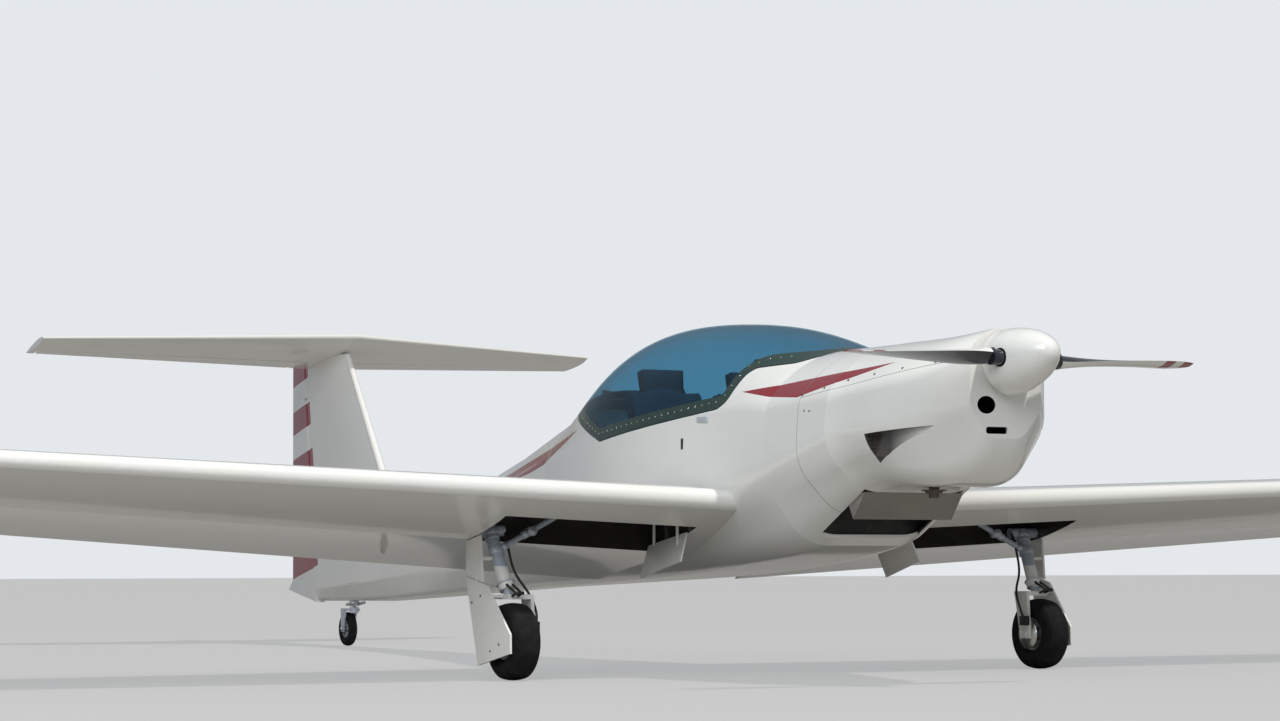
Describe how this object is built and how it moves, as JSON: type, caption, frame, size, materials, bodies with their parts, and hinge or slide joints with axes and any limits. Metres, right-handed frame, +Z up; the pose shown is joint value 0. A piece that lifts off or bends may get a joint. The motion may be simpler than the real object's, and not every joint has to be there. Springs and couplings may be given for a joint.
{
  "type": "motor glider",
  "caption": "Low-wing two-seat motor glider with folding wings, a T-tail and a feathering propeller, parked on its wheels.",
  "frame": {"origin": "on the ground under the middle of the bounding box", "axes": "+X to the aircraft's left wing tip, +Y to the tail, +Z up"},
  "size_m": [17.47, 7.8951, 1.8547],
  "materials": {
    "white_paint": "glossy",
    "green_paint": "glossy",
    "tinted_glass": "clear",
    "steel": "satin",
    "grey_plastic": "matte",
    "black_plastic": "matte",
    "seat_cloth": "matte",
    "cast_metal": "matte",
    "grey_metal": "satin",
    "tyre": "matte",
    "alloy": "satin"
  },
  "bodies": {
    "airframe": {"cabin_shell": "white_paint", "tail_boom": "white_paint", "firewall": "steel", "cockpit_floor": "grey_plastic", "seat_base": "grey_plastic", "seat_left": "seat_cloth", "seat_right": "seat_cloth", "instrument_panel": "black_plastic", "baggage_shelf": "grey_plastic", "control_sticks": "black_plastic", "cowl_upper": "white_paint", "cowl_lower": "white_paint", "exit_flap": "white_paint", "engine_block": "cast_metal", "exhaust_pipe": "steel", "inner_wing_left": "white_paint", "inner_wing_right": "white_paint", "fin": "white_paint", "tailplane": "white_paint", "gear_leg_left": "grey_metal", "gear_leg_right": "grey_metal", "leg_doors_left": "white_paint", "leg_doors_right": "white_paint", "well_door_left": "white_paint", "well_door_right": "white_paint", "tail_wheel_post": "grey_metal"},
    "canopy": {"canopy_frame": "green_paint", "canopy_glass": "tinted_glass"},
    "airscrew": {"spinner": "white_paint", "propeller": "white_paint"},
    "wing_panel_left": {"outer_wing_left": "white_paint"},
    "wing_panel_right": {"outer_wing_right": "white_paint"},
    "aileron_left": {"aileron_left": "white_paint"},
    "aileron_right": {"aileron_right": "white_paint"},
    "airbrake_left": {"airbrake_left": "white_paint"},
    "airbrake_right": {"airbrake_right": "white_paint"},
    "elevator_left": {"elevator_left": "white_paint"},
    "elevator_right": {"elevator_right": "white_paint"},
    "rudder": {"rudder": "white_paint"},
    "main_wheel_left": {"main_tyre_left": "tyre", "main_hub_left": "alloy"},
    "main_wheel_right": {"main_tyre_right": "tyre", "main_hub_right": "alloy"},
    "tail_caster": {"tail_fork": "grey_metal"},
    "tail_wheel": {"tail_tyre": "tyre", "tail_hub": "alloy"}
  },
  "joints": [
    {"name": "canopy_hinge", "type": "hinge", "parent": "airframe", "child": "canopy", "pos_m": [0, -0.429, 1.342], "axis": [-1, 0, 0], "range_deg": [0, 50]},
    {"name": "airscrew_spin", "type": "hinge", "parent": "airframe", "child": "airscrew", "pos_m": [0, -3.65, 1.306], "axis": [0, -0.9914, 0.1305], "continuous": true},
    {"name": "fold_left", "type": "hinge", "parent": "airframe", "child": "wing_panel_left", "pos_m": [5.075, -1.84288, 0.9843], "axis": [0, -0.9751, 0.2215], "range_deg": [0, 175]},
    {"name": "fold_right", "type": "hinge", "parent": "airframe", "child": "wing_panel_right", "pos_m": [-5.075, -1.84288, 0.9843], "axis": [0, 0.9751, -0.2215], "range_deg": [0, 175]},
    {"name": "aileron_left_hinge", "type": "hinge", "parent": "wing_panel_left", "child": "aileron_left", "pos_m": [6.82, -1.6453, 0.91], "axis": [0.9962, -0.0667, 0.0565], "range_deg": [-20, 20]},
    {"name": "aileron_right_hinge", "type": "hinge", "parent": "wing_panel_right", "child": "aileron_right", "pos_m": [-6.82, -1.6453, 0.91], "axis": [0.9962, 0.0667, -0.0565], "range_deg": [-20, 20]},
    {"name": "airbrake_left_slide", "type": "slide", "parent": "airframe", "child": "airbrake_left", "axis": [0, -0.2215, -0.9751], "range_m": [-0.11, 0]},
    {"name": "airbrake_right_slide", "type": "slide", "parent": "airframe", "child": "airbrake_right", "axis": [0, -0.2215, -0.9751], "range_m": [-0.11, 0]},
    {"name": "elevator_left_hinge", "type": "hinge", "parent": "airframe", "child": "elevator_left", "pos_m": [0.9525, 3.48852, 1.74307], "axis": [0.9942, 0.1069, 0.0099], "range_deg": [-25, 25]},
    {"name": "elevator_right_hinge", "type": "hinge", "parent": "airframe", "child": "elevator_right", "pos_m": [-0.9525, 3.48852, 1.74307], "axis": [0.9942, -0.1069, -0.0099], "range_deg": [-25, 25]},
    {"name": "rudder_hinge", "type": "hinge", "parent": "airframe", "child": "rudder", "pos_m": [0, 3.52849, 0.76], "axis": [0, 0.1507, 0.9886], "range_deg": [-30, 30]},
    {"name": "tail_steer", "type": "hinge", "parent": "airframe", "child": "tail_caster", "pos_m": [0, 2.933, 0.215], "axis": [0, 0, 1], "range_deg": [-30, 30]},
    {"name": "main_wheel_left_spin", "type": "hinge", "parent": "airframe", "child": "main_wheel_left", "pos_m": [1.39, -1.967, 0.165], "axis": [1, 0, 0], "continuous": true},
    {"name": "main_wheel_right_spin", "type": "hinge", "parent": "airframe", "child": "main_wheel_right", "pos_m": [-1.39, -1.967, 0.165], "axis": [1, 0, 0], "continuous": true},
    {"name": "tail_wheel_spin", "type": "hinge", "parent": "tail_caster", "child": "tail_wheel", "pos_m": [0, 3.023, 0.1], "axis": [1, 0, 0], "continuous": true}
  ],
  "couplings": [
    {"joint": "aileron_right_hinge", "follows": "aileron_left_hinge", "ratio": -1},
    {"joint": "elevator_right_hinge", "follows": "elevator_left_hinge", "ratio": 1},
    {"joint": "airbrake_right_slide", "follows": "airbrake_left_slide", "ratio": 1},
    {"joint": "tail_steer", "follows": "rudder_hinge", "ratio": 1}
  ]
}
